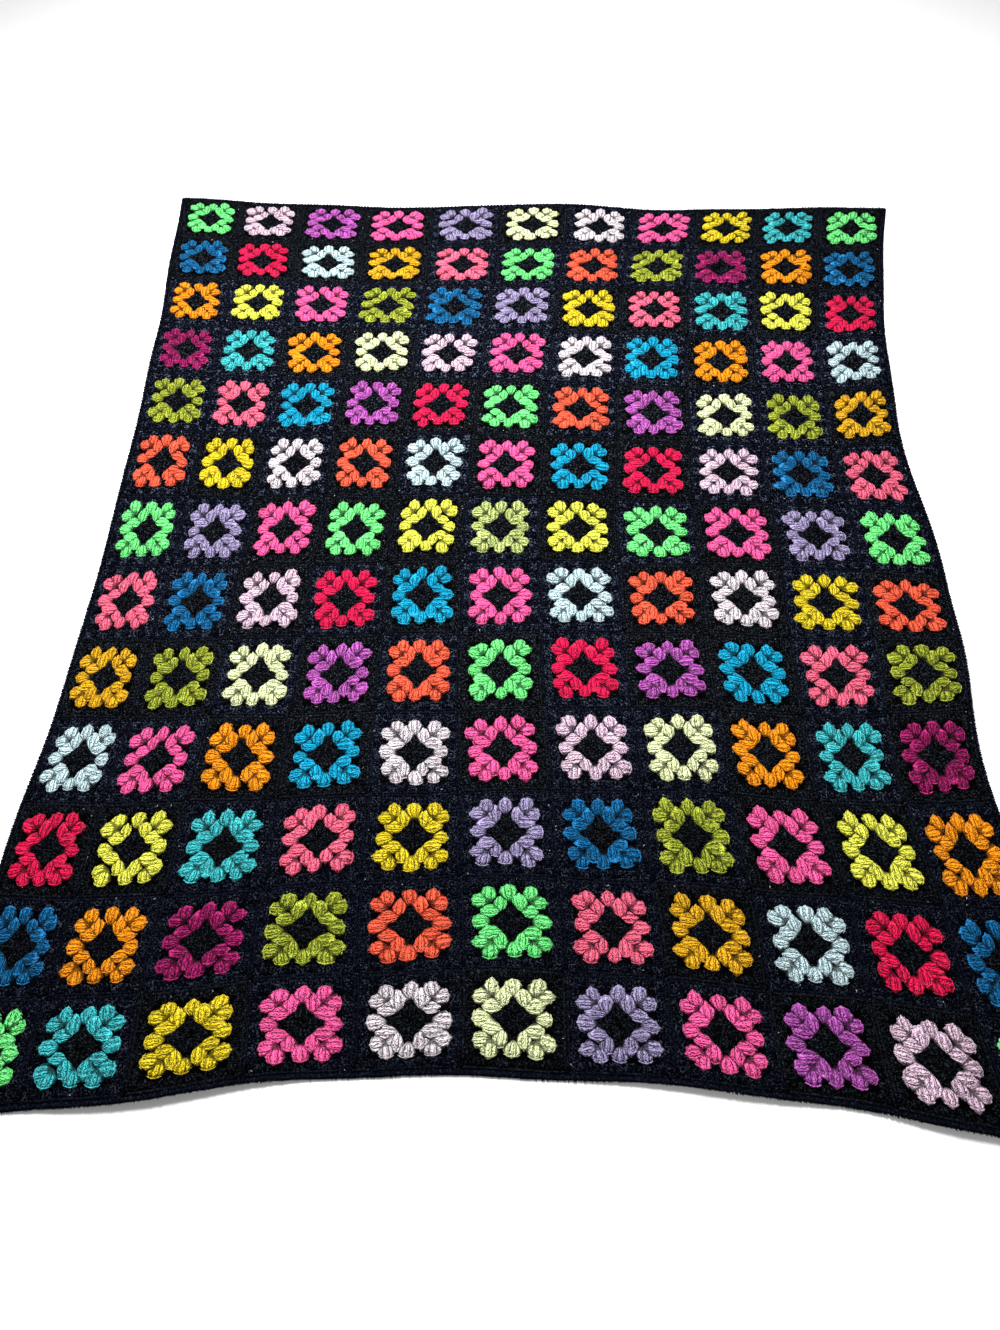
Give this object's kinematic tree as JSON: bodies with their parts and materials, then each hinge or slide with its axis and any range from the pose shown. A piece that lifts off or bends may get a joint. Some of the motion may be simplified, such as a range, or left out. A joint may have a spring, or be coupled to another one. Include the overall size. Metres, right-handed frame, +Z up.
{
  "type": "granny square blanket",
  "caption": "Crocheted blanket of joined granny squares with coloured rings on a dark ground, lying open on the floor.",
  "frame": {"origin": "on the floor under the middle of the blanket's outline", "axes": "+Z is up from the floor, +Y points along the blanket's length towards its first row of squares, +X runs across the rows"},
  "size_m": [1.344, 1.5472, 0.0183],
  "materials": {
    "square_yarn": "matt",
    "edging_yarn": "matt"
  },
  "bodies": {
    "root": {"row_of_squares_01": "square_yarn", "row_of_squares_02": "square_yarn", "row_of_squares_03": "square_yarn", "row_of_squares_04": "square_yarn", "row_of_squares_05": "square_yarn", "row_of_squares_06": "square_yarn", "row_of_squares_07": "square_yarn", "row_of_squares_08": "square_yarn", "row_of_squares_09": "square_yarn", "row_of_squares_10": "square_yarn", "row_of_squares_11": "square_yarn", "row_of_squares_12": "square_yarn", "row_of_squares_13": "square_yarn", "edging_top": "edging_yarn", "edging_bottom": "edging_yarn", "edging_left": "edging_yarn", "edging_right": "edging_yarn"}
  },
  "joints": []
}
